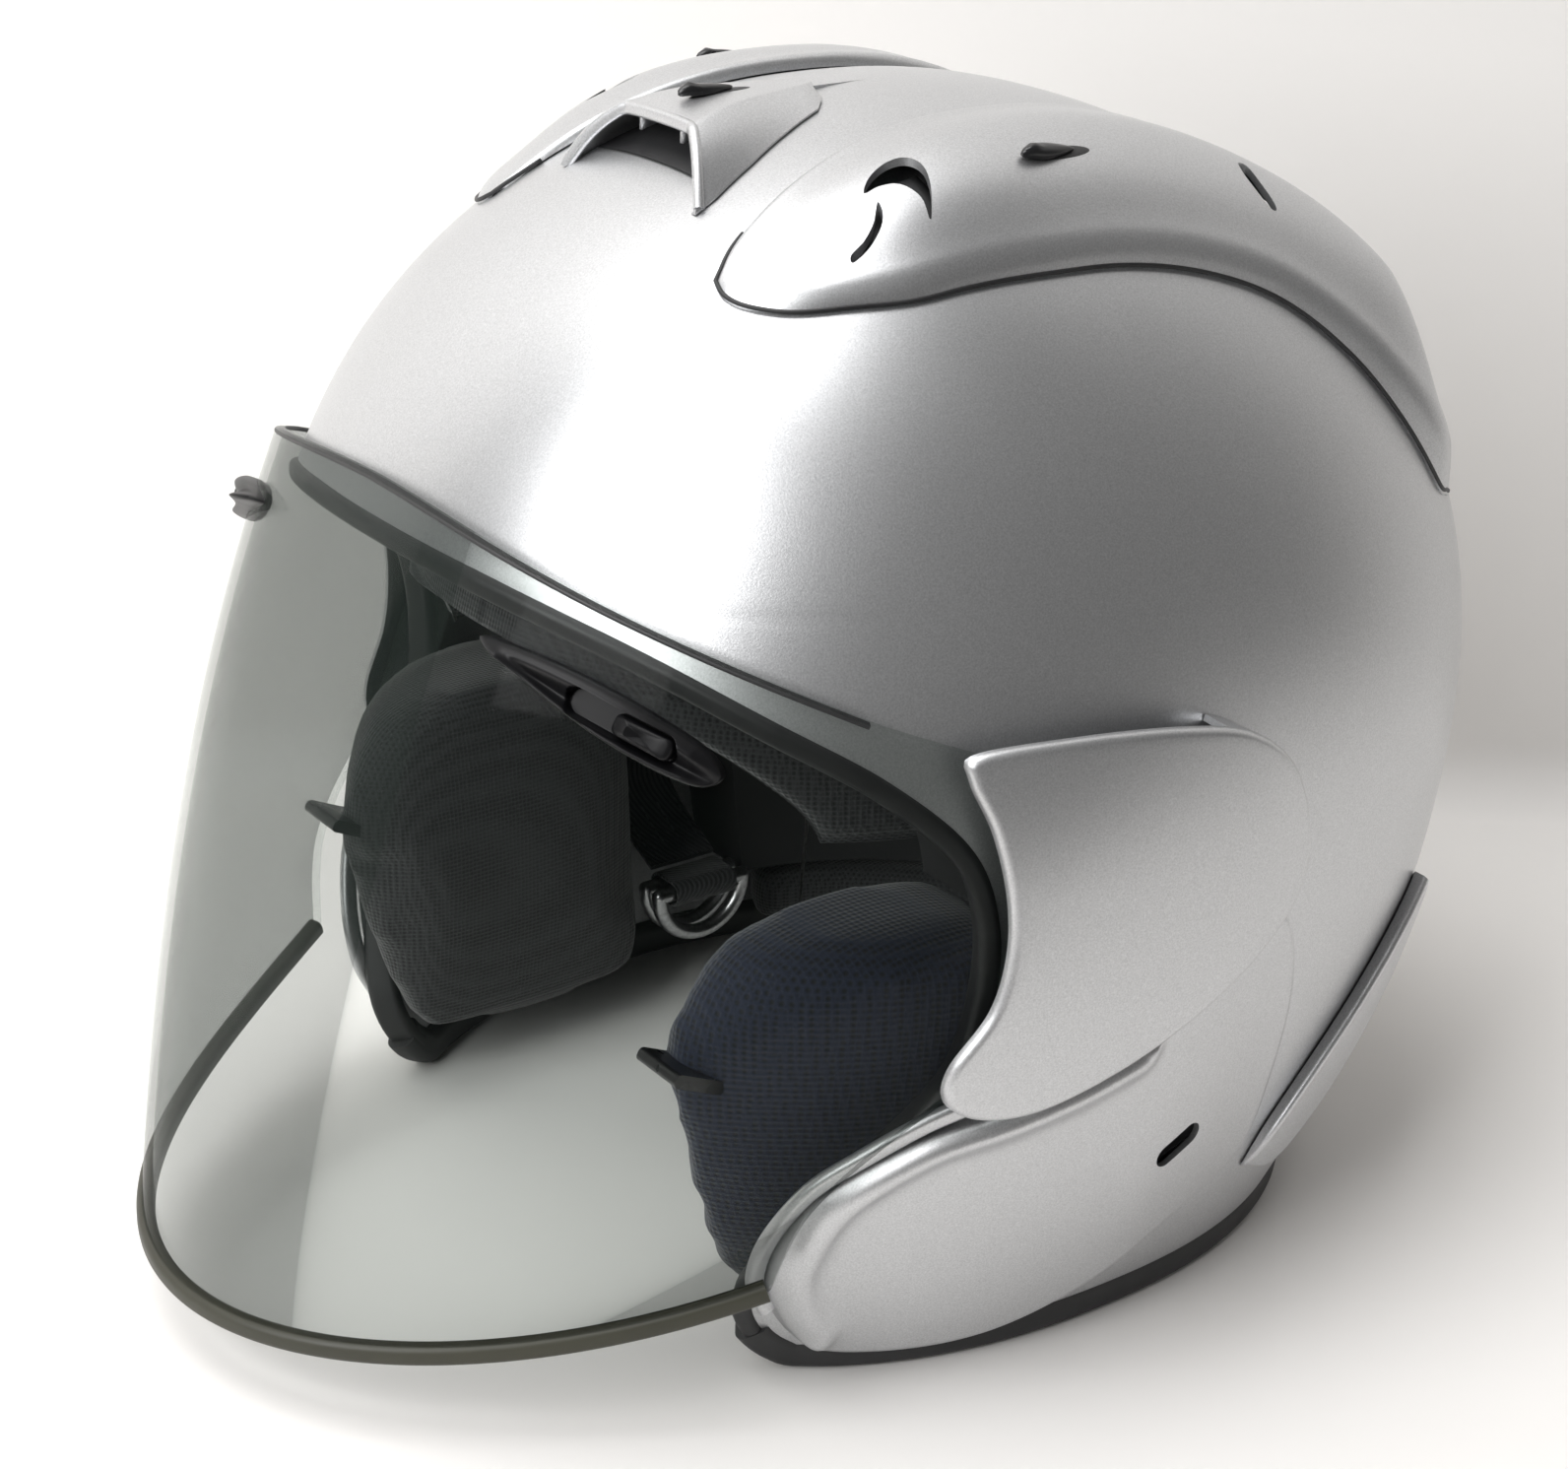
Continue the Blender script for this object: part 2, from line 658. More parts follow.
cowl = radial_cover("cowl_left_cover", COWL, (28, 42), side_lift, cowl_height, cowl_base, 1.8, SILVER, 1.5,
                    300, 44)
VENT_MIDDLE = (-0.5, 49)
hole_edge = []
for k in range(40):
    a = 2 * math.pi * k / 40
    u = 3.4 * math.copysign(1, math.cos(a)) + 3.0 * math.cos(a)
    w = 3.0 * math.sin(a)
    tilt = math.radians(25)
    hole_edge.append((VENT_MIDDLE[0] + u * math.cos(tilt) + w * math.sin(tilt),
                      VENT_MIDDLE[1] - u * math.sin(tilt) + w * math.cos(tilt)))
hole_verts = [(x, y, z) for y in (CUT_NEAR, CUT_FAR) for x, z in hole_edge]
hole_faces = grid_faces(2, 40, False, True) + [tuple(range(40)), tuple(range(79, 39, -1))]
hole = add_object("hole_cutter", hole_verts, hole_faces, SILVER, smooth=False)
tidy(hole, 0.001)
cut(cowl, hole)
sharp_smooth(cowl, 50)
place_pair(cowl, "cowl_right_cover", "helmet", "side_cowl", "silver_paint")


def build_ledge(side):
    """Narrow silver step of the shell edge showing between the cowl and the shield."""
    flat = smooth_curve([(82.5, 21), (86.2, 30), (86.0, 42), (81.5, 55), (73.5, 63.5), (63, 71),
                         (52, 75.5)], 120)
    path = side_lift(flat, np.full(len(flat), 2.6))
    ups = side_lift(flat, np.full(len(flat), 3.6)) - path
    ups /= np.linalg.norm(ups, axis=1)[:, None]
    flip = [1.0, 1.0 if side == "left" else -1.0, 1.0]
    obj = sweep("cowl_" + side + "_ledge", path * flip, ups * flip, rounded_box(4.0, 3.0, 1.2, 5), SILVER)
    return place(sharp_smooth(obj, 50), "helmet", slot="silver_paint")


build_ledge("left")
build_ledge("right")

cup_edge = np.array(VENT_MIDDLE) + (np.array(hole_edge) - VENT_MIDDLE) * 1.25
cup_rows = [side_lift(cup_edge, np.full(40, 1.0)), side_lift(cup_edge * 0.999, np.full(40, 0.35))]
cup_rows += [side_lift(np.array(VENT_MIDDLE) + (cup_edge - VENT_MIDDLE) * f, np.full(40, 0.3))
             for f in (0.6, 0.2, 0.0)]
cup = add_object("cowl_vent_cup_left", np.concatenate(cup_rows), grid_faces(5, 40, False, True),
                 BLACK_RUBBER)
tidy(cup, 0.001)
cup_twin = mirrored(cup, "cowl_vent_cup_right")
place(cup, "helmet", slot="black_rubber")
place(cup_twin, "helmet", slot="black_rubber")


def strip_cover(name, lower, upper, lift, height, radius, material, taper=0.12, blunt=True, wall=1.6,
                count=150, across=22, base=0.4, end_taper=0.0):
    """Long cover between two edge curves that start at one tip; blunt ends get a wall."""
    low = smooth_curve(lower, count)
    top = smooth_curve(upper, count)
    width = np.linalg.norm(top - low, axis=1)
    run = np.linspace(0, 1, count)
    grow = np.sqrt(np.clip(1 - (1 - np.clip(run / taper, 0, 1)) ** 2, 0, 1))
    if end_taper:
        grow = grow * np.sqrt(np.clip(1 - (1 - np.clip((1 - run) / end_taper, 0, 1)) ** 2, 0, 1))
    round_off = np.minimum(radius, width * 0.45)
    angles = np.radians([0, 20, 40, 60, 75, 90])
    columns = [(np.zeros(count), "base")]
    columns += [(round_off * (1 - math.cos(a)), math.sin(a)) for a in angles]
    inner = np.linspace(0, 1, across)[1:-1]
    columns += [(round_off + (width - 2 * round_off) * t, 1.0) for t in inner]
    columns += [(width - round_off * (1 - math.cos(a)), math.sin(a)) for a in angles[::-1]]
    columns += [(width, "base")]
    way = (top - low) / np.maximum(width, 1e-6)[:, None]
    lines = []
    for inset, part in columns:
        flat = low + way * inset[:, None]
        full = height(flat) * grow
        if isinstance(part, str):
            h = np.full(count, base)
        else:
            h = np.maximum(full - round_off * (1 - part) * grow, base)
        lines.append(lift(flat, h))
    grid = np.stack(lines, 1)
    verts = grid.reshape(-1, 3)
    n = len(columns)
    faces = grid_faces(count, n)
    if blunt:
        flat_end = np.stack([(low + way * inset[:, None])[-1] for inset, _ in columns])
        wall_row = lift(flat_end, np.full(n, base))
        verts = np.vstack([verts, wall_row])
        at = (count - 1) * n
        for j in range(n - 1):
            faces.append((at + j, at + j + 1, count * n + j + 1, count * n + j))
    obj = add_object(name, verts, faces, material)
    tidy(obj, 0.01)
    if wall:
        thicken(obj, wall)
    return sharp_smooth(obj, 42)


def top_lift(points, h):
    return on_top(points[:, 0], points[:, 1], h)


DIFFUSER_LOWER = [(69, 42.5), (69.5, 46.5), (67.5, 51.5), (62.5, 57.5), (55, 62.5), (42, 68.5), (29, 71),
                  (11, 73), (-8, 74), (-28, 76), (-48, 79),
                  (-66, 84), (-80, 88), (-92, 89), (-100, 85)]
DIFFUSER_UPPER = [(69, 42.5), (60, 38), (40, 34), (12, 31), (-20, 31), (-50, 35), (-76, 42), (-94, 52),
                  (-105, 64), (-106, 76)]


DIFFUSER_LOW_EDGE = smooth_curve(DIFFUSER_LOWER, 160)
DIFFUSER_TOP_EDGE = smooth_curve(DIFFUSER_UPPER, 160)


def diffuser_height(p):
    """Full height along the middle, sinking softly towards both long edges."""
    nose = 1.0 - np.exp(-(np.clip(72.0 - p[:, 0], 0, None) / 30.0) ** 2)
    tail = np.exp(-((p[:, 0] + 106.0) / 30.0) ** 2)
    low_gap = np.linalg.norm(p[:, None, :] - DIFFUSER_LOW_EDGE[None, :, :], axis=2).min(1)
    top_gap = np.linalg.norm(p[:, None, :] - DIFFUSER_TOP_EDGE[None, :, :], axis=2).min(1)
    fall = np.exp(-(low_gap / 9.0) ** 2) * 0.55 + np.exp(-(top_gap / 11.0) ** 2) * 0.75
    return 2.2 + (5.9 * nose + 4.0 * tail) * (1.0 - np.clip(fall, 0, 0.8))


def flat_prism(name, outline, low, high, count=60):
    """Upright cutter through a closed plan outline."""
    edge = smooth_curve(outline, count, closed=True)
    verts = [(x, y, z) for z in (low, high) for x, y in edge]
    lids = [tuple(range(count)), tuple(range(2 * count - 1, count - 1, -1))]
    faces = grid_faces(2, count, False, True) + lids
    obj = add_object(name, verts, faces, None, smooth=False)
    return tidy(obj, 0.001)


diffuser = strip_cover("diffuser_left_cover", DIFFUSER_LOWER, DIFFUSER_UPPER, top_lift, diffuser_height, 2.6,
                       SILVER, count=220, across=46)
INTAKE = [(39.7, 50.9), (36.5, 48.2), (31.5, 46.8), (27.6, 47.8), (26, 51.4), (27.6, 56.5), (31.8, 62.3),
          (31.0, 58.6), (31.6, 55.6), (33.4, 52.9), (36.6, 51.4)]
HOOK = [(38.7, 54.2), (39.3, 56.6), (41.2, 58.6), (44.9, 60.1), (48.9, 60.3), (48.6, 59.0), (45.3, 58.6),
        (42.2, 57.3), (40.3, 55.6)]
REAR_SLIT = [(-55, 57), (-53.2, 62), (-54, 68), (-56.4, 68), (-57, 62), (-57.6, 57)]
for number, outline in enumerate((INTAKE, HOOK, REAR_SLIT)):
    cut(diffuser, flat_prism("cutter" + str(number), outline, 200, 300))
sharp_smooth(diffuser, 42)
place_pair(diffuser, "diffuser_right_cover", "helmet", "diffuser", "silver_paint")


def build_gasket(side):
    """Thin dark seal showing round the nose and along the lower edge of the cover."""
    nose = smooth_curve(DIFFUSER_UPPER, 200)[1:12][::-1]
    flat = np.vstack([nose, smooth_curve(DIFFUSER_LOWER, 200)])
    path = top_lift(flat, np.full(len(flat), 0.75))
    ups = top_lift(flat, np.full(len(flat), 1.75)) - path
    ups /= np.linalg.norm(ups, axis=1)[:, None]
    flip = [1.0, 1.0 if side == "left" else -1.0, 1.0]
    obj = sweep("diffuser_" + side + "_seal", path * flip, ups * flip, rounded_box(0.8, 0.9, 0.3, 3),
                BLACK_RUBBER)
    return place(obj, "helmet", slot="black_rubber")


build_gasket("left")
build_gasket("right")


def dark_floor(name, centre, size_x, size_y, h, lift):
    """Shallow dark tray under an opening in a cover."""
    u = np.linspace(-1, 1, 13)
    grid = [(centre[0] + size_x * a, centre[1] + size_y * b) for a in u for b in u]
    flat = np.array(grid)
    out = (flat[:, 0] - centre[0]) ** 2 / size_x ** 2 + (flat[:, 1] - centre[1]) ** 2 / size_y ** 2
    fall = 1.0 - 0.35 * np.clip(out, 0, 1)
    obj = add_object(name, lift(flat, h * (2 - fall)), grid_faces(13, 13), BLACK_RUBBER)
    thicken(obj, 0.4)
    twin = mirrored(obj, name.replace("left", "right"))
    place(obj, "helmet", slot="black_rubber")
    place(twin, "helmet", slot="black_rubber")


dark_floor("intake_tray_left", (37, 55), 13, 7.5, 1.6, top_lift)
dark_floor("exit_tray_left", (-56, 62), 7, 9, 2.4, top_lift)

OUTLET_UPPER = [(-31, 28), (-36, 39), (-46, 51), (-60, 63.5), (-74, 74), (-88, 82)]
OUTLET_LOWER = [(-31, 28), (-42, 25), (-56, 33), (-70, 45), (-82, 58), (-93, 74)]
outlet = strip_cover("neck_outlet_left_blade", OUTLET_LOWER, OUTLET_UPPER, side_lift,
                     lambda p: np.full(len(p), 4.0), 1.6, SILVER, taper=0.2, count=110, across=18)
place_pair(outlet, "neck_outlet_right_blade", "helmet", "neck_outlet", "silver_paint")


# ------------------------------------------------------------------ top duct
def duct_half_width(x):
    return np.interp(x, [17, 18.5, 23, 34, 46, 57, 62.5], [3.0, 8.0, 12.8, 17.2, 21.8, 25.0, 25.4])


def duct_front(y):
    """Plan line of the mouth: straight across the roof, then forward to both wing tips."""
    return 54.6 + 7.2 * np.clip((np.abs(y) - 11.5) / 13.5, 0, None) ** 1.1


def duct_height(x, y):
    """Flat roof that falls towards the rear, with a plane wing down each side."""
    run = np.clip((x - 17.0) / 37.5, 0, 1.2)
    ridge = 2.5 + 10.5 * run
    half = np.maximum(duct_half_width(x), ridge + 1.0)
    wing = np.clip((half - np.abs(y)) / (half - ridge), 0, 1)
    roof = 5.8 + 4.2 * np.tanh((x - 36.0) / 18.0)
    bulge = 0.9 * np.sin(math.pi * wing) * run
    return 0.7 + (roof - 0.7) * wing + bulge


def build_duct():
    across = 97
    along = 60
    v = np.sin(np.linspace(-math.pi / 2, math.pi / 2, across))
    rows = []
    for t in np.linspace(0, 1, along):
        x = np.full(across, 40.0)
        for _ in range(12):
            y = v * duct_half_width(x)
            x = 17.4 + (duct_front(y) - 17.4) * t
        rows.append(on_top(x, y, duct_height(x, y)))
    sides = [on_top(r[:, 0], r[:, 1], 0.3) for r in (rows[0], rows[-1])]
    grid = [np.vstack([sides[0]])] + rows
    skirted = []
    for r in grid:
        foot_a = on_top(r[:1, 0], r[:1, 1], 0.3)
        foot_b = on_top(r[-1:, 0], r[-1:, 1], 0.3)
        skirted.append(np.vstack([foot_a, r, foot_b]))
    obj = add_object("top_duct_roof", np.concatenate(skirted), grid_faces(len(skirted), across + 2), SILVER)
    tidy(obj, 0.005)
    thicken(obj, 1.5)
    return place(sharp_smooth(obj, 40), "helmet", "top_duct_cover", slot="silver_paint")


build_duct()


def build_duct_lip():
    """Thicker rolled edge round the mouth of the duct."""
    y = np.concatenate([np.linspace(-24.6, -11, 40), np.linspace(-10.6, 10.6, 30),
                        np.linspace(11, 24.6, 40)])
    x = duct_front(y) - 0.9
    path = resample(on_top(x, y, duct_height(x, y) - 1.15), 130)
    above_path = resample(on_top(x, y, duct_height(x, y) - 0.15), 130)
    ups = above_path - path
    ups /= np.linalg.norm(ups, axis=1)[:, None]
    obj = sweep("top_duct_lip", path, ups, rounded_box(2.2, 2.8, 0.9, 4), SILVER)
    return place(sharp_smooth(obj, 60), "helmet", slot="silver_paint")


build_duct_lip()


def build_duct_throat():
    """Dark floor and back wall of the duct, with two thin fins hanging in its mouth."""
    v = np.linspace(-1, 1, 25)
    rows = []
    for x, share in ((55.5, 0.02), (51, 0.03), (46, 0.06), (41, 0.15), (37, 0.4), (34, 0.75), (32.5, 0.95)):
        xs = np.full(25, x)
        y = v * (duct_half_width(x) - 2.8)
        roof = np.maximum(duct_height(xs, y) - 1.8, 0.5)
        rows.append(on_top(xs, y, 0.4 + (roof - 0.4) * share))
    obj = add_object("top_duct_throat", np.concatenate(rows), grid_faces(7, 25), BLACK_RUBBER)
    tidy(obj, 0.001)
    place(obj, "helmet", slot="black_rubber")
    for side in (-1, 1):
        x = np.linspace(40, 53.5, 12)
        y = side * (6.0 + 0.12 * (x - 40))
        rows = []
        for share in (0.5, 0.75, 1.0):
            top = np.maximum(duct_height(x, y) - 1.4, 0.6)
            rows.append(on_top(x, y, 0.4 + (top - 0.4) * share))
        rib = add_object("top_duct_rib_" + ("left" if side > 0 else "right"), np.concatenate(rows),
                         grid_faces(3, 12), SILVER)
        thicken(rib, 1.0, 0.0)
        place(rib, "helmet", slot="silver_paint")


build_duct_throat()


# ------------------------------------------------------------------ small black levers on the covers
def local_frame(x, y, rule):
    """Place on a cover, with the directions back along it, across it and out of it."""
    here = on_top(np.array([x]), np.array([y]), rule(x, y))[0]
    rear = on_top(np.array([x - 2.0]), np.array([y]), rule(x - 2.0, y))[0]
    fore = on_top(np.array([x + 2.0]), np.array([y]), rule(x + 2.0, y))[0]
    far = on_top(np.array([x]), np.array([y + 2.0]), rule(x, y + 2.0))[0]
    near = on_top(np.array([x]), np.array([y - 2.0]), rule(x, y - 2.0))[0]
    back = unit(rear - fore)
    out = unit(np.cross(far - near, back))
    return here, back, np.cross(out, back), out


def leaf_shape(length, width, count=48):
    """Outline of a lever: blunt in front, drawn out to a point at the rear."""
    a = np.linspace(0, 2 * math.pi, count, endpoint=False)
    along = length / 2 * np.cos(a)
    taper = 1.0 - 0.55 * np.clip((along / length + 0.5), 0, 1) ** 1.6
    return np.stack([along, width / 2 * np.sin(a) * np.abs(np.sin(a)) ** 0.1 * taper], -1)


def oval_shape(length, width, count=48):
    a = np.linspace(0, 2 * math.pi, count, endpoint=False)
    return np.stack([length / 2 * np.cos(a), width / 2 * np.sin(a)], -1)


def build_lever(name, node, body, x, y, rule, slide, length, width):
    origin, back, over, out = local_frame(x, y, rule)
    start = -slide / 2
    shape = leaf_shape(length, width)
    rows = []
    for scale, up in ((0.94, 0.3), (1.0, 0.6), (1.0, 1.5), (0.9, 2.1), (0.62, 2.5), (0.3, 2.7), (0.0, 2.75)):
        along = shape[:, 0] * scale
        fall = 1.0 - 0.55 * np.clip(along / length + 0.5, 0, 1) ** 1.4
        grip = 1.1 * np.exp(-((along + length * 0.32) / 1.3) ** 2) * np.clip(1.25 - scale, 0, 1)
        rows.append(origin + back * (start + along)[:, None] + over * shape[:, 1:] * scale
                    + out * (up * fall + grip)[:, None])
    count = len(shape)
    faces = grid_faces(len(rows), count, False, True) + [tuple(range(count))]
    obj = add_object(name, np.concatenate(rows), faces, BLACK_GLOSS)
    tidy(obj, 0.002)
    place(sharp_smooth(obj, 50), body, node, slot="black_plastic")
    seat = oval_shape(length + slide - 1.0, width * 0.95)
    seat_rows = []
    for scale in (1.0, 0.7, 0.4, 0.0):
        flat = np.array([x, y]) + np.stack([-seat[:, 0], seat[:, 1]], -1) * scale
        level = np.array([rule(px, py) for px, py in flat]) + (0.12 if scale < 1.0 else -0.3)
        seat_rows.append(on_top(flat[:, 0], flat[:, 1], level))
    base = add_object(name + "_slot", np.concatenate(seat_rows), grid_faces(4, count, False, True),
                      BLACK_RUBBER)
    tidy(base, 0.002)
    place(base, "helmet", slot="black_rubber")


def duct_rule(x, y):
    return float(duct_height(np.array(float(x)), np.array(float(y))))


def diffuser_rule(x, y):
    return float(diffuser_height(np.array([[x, abs(y)]]))[0])


build_lever("duct_lever", "top_duct_shutter", "duct_shutter", 39.0, 0.0, duct_rule, 7.0, 13.5, 4.6)
for side, y in (("left", 57.0), ("right", -57.0)):
    build_lever("crown_lever_" + side, "diffuser_lever_" + side, "lever_" + side, -5.0, y, diffuser_rule,
                7.0, 14.0, 4.4)


# ------------------------------------------------------------------ face shield
def side_angle(x, z):
    """Angle about the shield's own middle of the point seen at x, z from the side."""
    middle, reach, side, power = shield_section(z)
    y = side * spow(1.0 - spow(np.abs(x - middle) / reach, power), 1.0 / power)
    return np.arctan2(y, x - middle)


TOP_END = math.radians(56)
BOTTOM_END = math.radians(48)


def front_top(angle):
    k = 1 - np.cos(angle)
    return 186.7 - 64 * k - 0.65 * k ** 2


def front_bottom(angle):
    k = 1 - np.cos(angle)
    return 15.8 + 57.8 * k + 3.1 * k ** 2


HUB_REAR = [(0.26, 0.966), (-0.5, 0.866), (-0.94, 0.34), (-1.0, 0.0), (-0.94, -0.34), (-0.5, -0.866),
            (0.17, -0.985)]
HUB_RADIUS = 15.0
HUB_HOLE = 11.8
HUB_EDGE = [(HUB_RADIUS * c, PIVOT_Z + HUB_RADIUS * s) for c, s in HUB_REAR]


def lens_edges(count=200):
    """Upper and lower edge of the lens against angle, from the middle to the rear of the hub."""
    a = np.linspace(0, TOP_END, 40)
    top = np.stack([a, front_top(a)], -1)
    b = np.linspace(0, BOTTOM_END, 40)
    low = np.stack([b, front_bottom(b)], -1)
    upper = smooth_curve([(58, 152)] + [(40, 146), (20, 142)] + HUB_EDGE[:4], 90)[8:]
    lower = smooth_curve([(88.8, 46), (86, 55), (80.5, 63), (73, 70.5), (64.5, 77.5), (54, 84.5), (40, 92),
                          (22, 100)] + HUB_EDGE[:2:-1], 140)
    upper = np.stack([side_angle(upper[:, 0], upper[:, 1]), upper[:, 1]], -1)
    lower = np.stack([side_angle(lower[:, 0], lower[:, 1]), lower[:, 1]], -1)
    top = np.vstack([top, upper[upper[:, 0] > TOP_END + 0.03]])
    low = np.vstack([low, lower[lower[:, 0] > BOTTOM_END + 0.02]])
    last = min(top[-1, 0], low[-1, 0])
    angle = last * np.sin(np.linspace(0, math.pi / 2, count))
    top = top[np.argsort(top[:, 0])]
    low = low[np.argsort(low[:, 0])]
    return angle, np.interp(angle, top[:, 0], top[:, 1]), np.interp(angle, low[:, 0], low[:, 1])


def build_lens():
    angle, top, low = lens_edges()
    angle = np.concatenate([-angle[::-1], angle[1:]])
    top = np.concatenate([top[::-1], top[1:]])
    low = np.concatenate([low[::-1], low[1:]])
    layers = 70
    sheets = []
    for h in (2.0, 0.0):
        rows = [shield_at(angle, low + (top - low) * t, h) for t in np.linspace(0, 1, layers)]
        sheets.append(np.stack(rows))
    n = len(angle)
    verts = np.concatenate([s.reshape(-1, 3) for s in sheets])
    faces = grid_faces(layers, n) + [f[::-1] for f in grid_faces(layers, n, start=layers * n)]
    under = layers * n
    for i in range(layers - 1):
        for j in (0, n - 1):
            faces.append((i * n + j, (i + 1) * n + j, under + (i + 1) * n + j, under + i * n + j))
    for j in range(n - 1):
        for i in (0, layers - 1):
            faces.append((i * n + j, i * n + j + 1, under + i * n + j + 1, under + i * n + j))
    obj = add_object("shield_window", verts, faces, LENS)
    tidy(obj, 0.001)
    for side in (-1, 1):
        a = np.linspace(0, 2 * math.pi, 72, endpoint=False)
        ring = [(HUB_HOLE * math.cos(t), y, PIVOT_Z + HUB_HOLE * math.sin(t))
                for y in (CUT_NEAR * side, CUT_FAR * side) for t in a]
        disc = grid_faces(2, 72, False, True) + [tuple(range(72)), tuple(range(143, 71, -1))]
        cutter = add_object("hub_cutter", ring, disc, None, smooth=False)
        tidy(cutter, 0.001)
        cut(obj, cutter)
    sharp_smooth(obj, 30)
    return place(obj, "shield", "shield_lens", slot="clear_shield")


build_lens()


def build_edge_trim():
    angle = np.linspace(BOTTOM_END - 0.004, -BOTTOM_END + 0.004, 240)
    z = front_bottom(angle) + 0.7
    path = shield_at(angle, z, 1.0)
    away = shield_at(angle, z, 2.0) - path
    ups = away / np.linalg.norm(away, axis=1)[:, None]
    obj = sweep("shield_lower_edging", path, ups, rounded_box(4.5, 4.1, 1.5, 5), OLIVE_RUBBER)
    return place(sharp_smooth(obj, 50), "shield", "shield_edge_trim", slot="olive_rubber")


build_edge_trim()


def build_top_edging():
    """Thin dark line of glue and paint along the upper edge of the lens."""
    angle = np.linspace(TOP_END - 0.02, -TOP_END + 0.02, 240)
    z = front_top(angle) - 0.6
    path = shield_at(angle, z, 1.0)
    away = shield_at(angle, z, 2.0) - path
    ups = away / np.linalg.norm(away, axis=1)[:, None]
    obj = sweep("shield_upper_edging", path, ups, rounded_box(0.9, 2.3, 0.4, 4), BLACK_RUBBER)
    return place(sharp_smooth(obj, 50), "shield", slot="black_rubber")


build_top_edging()


# ------------------------------------------------------------------ brow vents
VENT_ANGLE = math.radians(32.5)
VENT_Z = 161.5
VENT_TILT = math.radians(-19.0)
VENT_OUTLINE = [(-27.5, -0.5), (-14, 2), (0, 3), (13, 2.6), (23, 1.2), (27.5, -2), (25, -5.6), (17, -6.9),
                (5, -6.3), (-8, -4.6), (-20, -2.6)]


def vent_axes():
    here = shield_at(np.array(VENT_ANGLE), VENT_Z, 2.0)
    along = unit(shield_at(np.array(VENT_ANGLE + 0.01), VENT_Z, 2.0) - here)
    over = shield_at(np.array(VENT_ANGLE), VENT_Z + 1.0, 2.0) - here
    out = unit(np.cross(along, over))
    up = np.cross(out, along)
    c, s = math.cos(VENT_TILT), math.sin(VENT_TILT)
    return here, along * c + up * s, up * c - along * s, out


VENT_HERE, VENT_BACK, VENT_UP, VENT_OUT = vent_axes()


def vent_lift(points, h):
    """Points given along and across the vent, carried onto the raised shield."""
    flat = VENT_HERE + points[:, :1] * VENT_BACK + points[:, 1:] * VENT_UP
    h = np.broadcast_to(np.asarray(h, float), (len(points),))
    out = flat.copy()
    for _ in range(6):
        middle = shield_section(out[:, 2])[0]
        angle = np.arctan2(out[:, 1], out[:, 0] - middle)
        on = shield_at(angle, out[:, 2], 2.0 + h)
        gap = (on - out) @ VENT_OUT
        out = out + gap[:, None] * VENT_OUT
    return out


def vent_height(p):
    """Hooded upper rim, a sunk channel for the slider and a low lip."""
    hood = 3.9 * np.exp(-((p[:, 1] - 1.2 + 0.004 * p[:, 0] ** 2) / 2.4) ** 2)
    lip = 2.6 * np.exp(-((p[:, 1] + 5.8 - 0.0035 * (p[:, 0] - 12) ** 2) / 1.1) ** 2)
    ends = np.clip((27.5 - np.abs(p[:, 0])) / 6.0, 0, 1)
    full = 0.9 + (hood + lip) * (0.45 + 0.55 * ends)
    aside = np.maximum(np.abs(p[:, 0] - 6.5) - 9.3, 0.0)
    outside = np.clip((np.hypot(aside, p[:, 1] + 1.9) - 2.6) / 0.5, 0, 1)
    return 0.25 + (full - 0.25) * outside


vent = radial_cover("brow_vent_left_rim", VENT_OUTLINE, (6.5, -1.9), vent_lift, vent_height,
                    lambda p: np.full(len(p), 0.05), 0.7, VENT_BLACK, 0.0, 300, 60)
place_pair(vent, "brow_vent_right_rim", "shield", "brow_vent_frame", "black_plastic")


def build_slider(side):
    """Slider with a rounded body and a raised grip towards its front."""
    centre = 6.5 + 5.0
    rows = []
    for scale, up in ((1.0, 0.45), (1.0, 2.3), (0.95, 2.9), (0.82, 3.2), (0.5, 3.25), (0.0, 3.25)):
        ring = []
        for k in range(64):
            t = 2 * math.pi * k / 64
            s = 5.0 * math.copysign(1, math.cos(t)) + 1.4 * math.cos(t)
            w = 2.15 * math.copysign(abs(math.sin(t)) ** 0.6, math.sin(t))
            grip = 1.3 * math.exp(-((s * scale + 3.0) / 1.1) ** 2) if scale < 0.97 else 0.0
            ring.append(VENT_HERE + (centre + s * scale) * VENT_BACK + (-1.9 + w * scale) * VENT_UP
                        + (up + grip) * VENT_OUT)
        rows.append(np.array(ring))
    faces = grid_faces(6, 64, False, True) + [tuple(range(64))]
    obj = add_object("brow_vent_left_knob", np.concatenate(rows), faces, VENT_BLACK)
    tidy(obj, 0.002)
    sharp_smooth(obj, 50)
    if side == "right":
        twin = mirrored(obj, "brow_vent_right_knob")
        bpy.data.objects.remove(obj)
        obj = twin
    return place(obj, "brow_slider_" + side, "brow_vent_slider_" + side, slot="black_plastic")


build_slider("right")
build_slider("left")


# ------------------------------------------------------------------ padding
def hold_inside(points, h):
    """Pulls points back under the shell raised by h."""
    angle = np.arctan2(points[:, 1], points[:, 0])
    limit = shell_at(angle, points[:, 2], h)
    now = np.linalg.norm(points[:, :2], axis=1)
    cap = np.linalg.norm(limit[:, :2], axis=1)
    scale = np.minimum(1.0, cap / np.maximum(now, 1e-6))
    points[:, :2] *= scale[:, None]
    return points


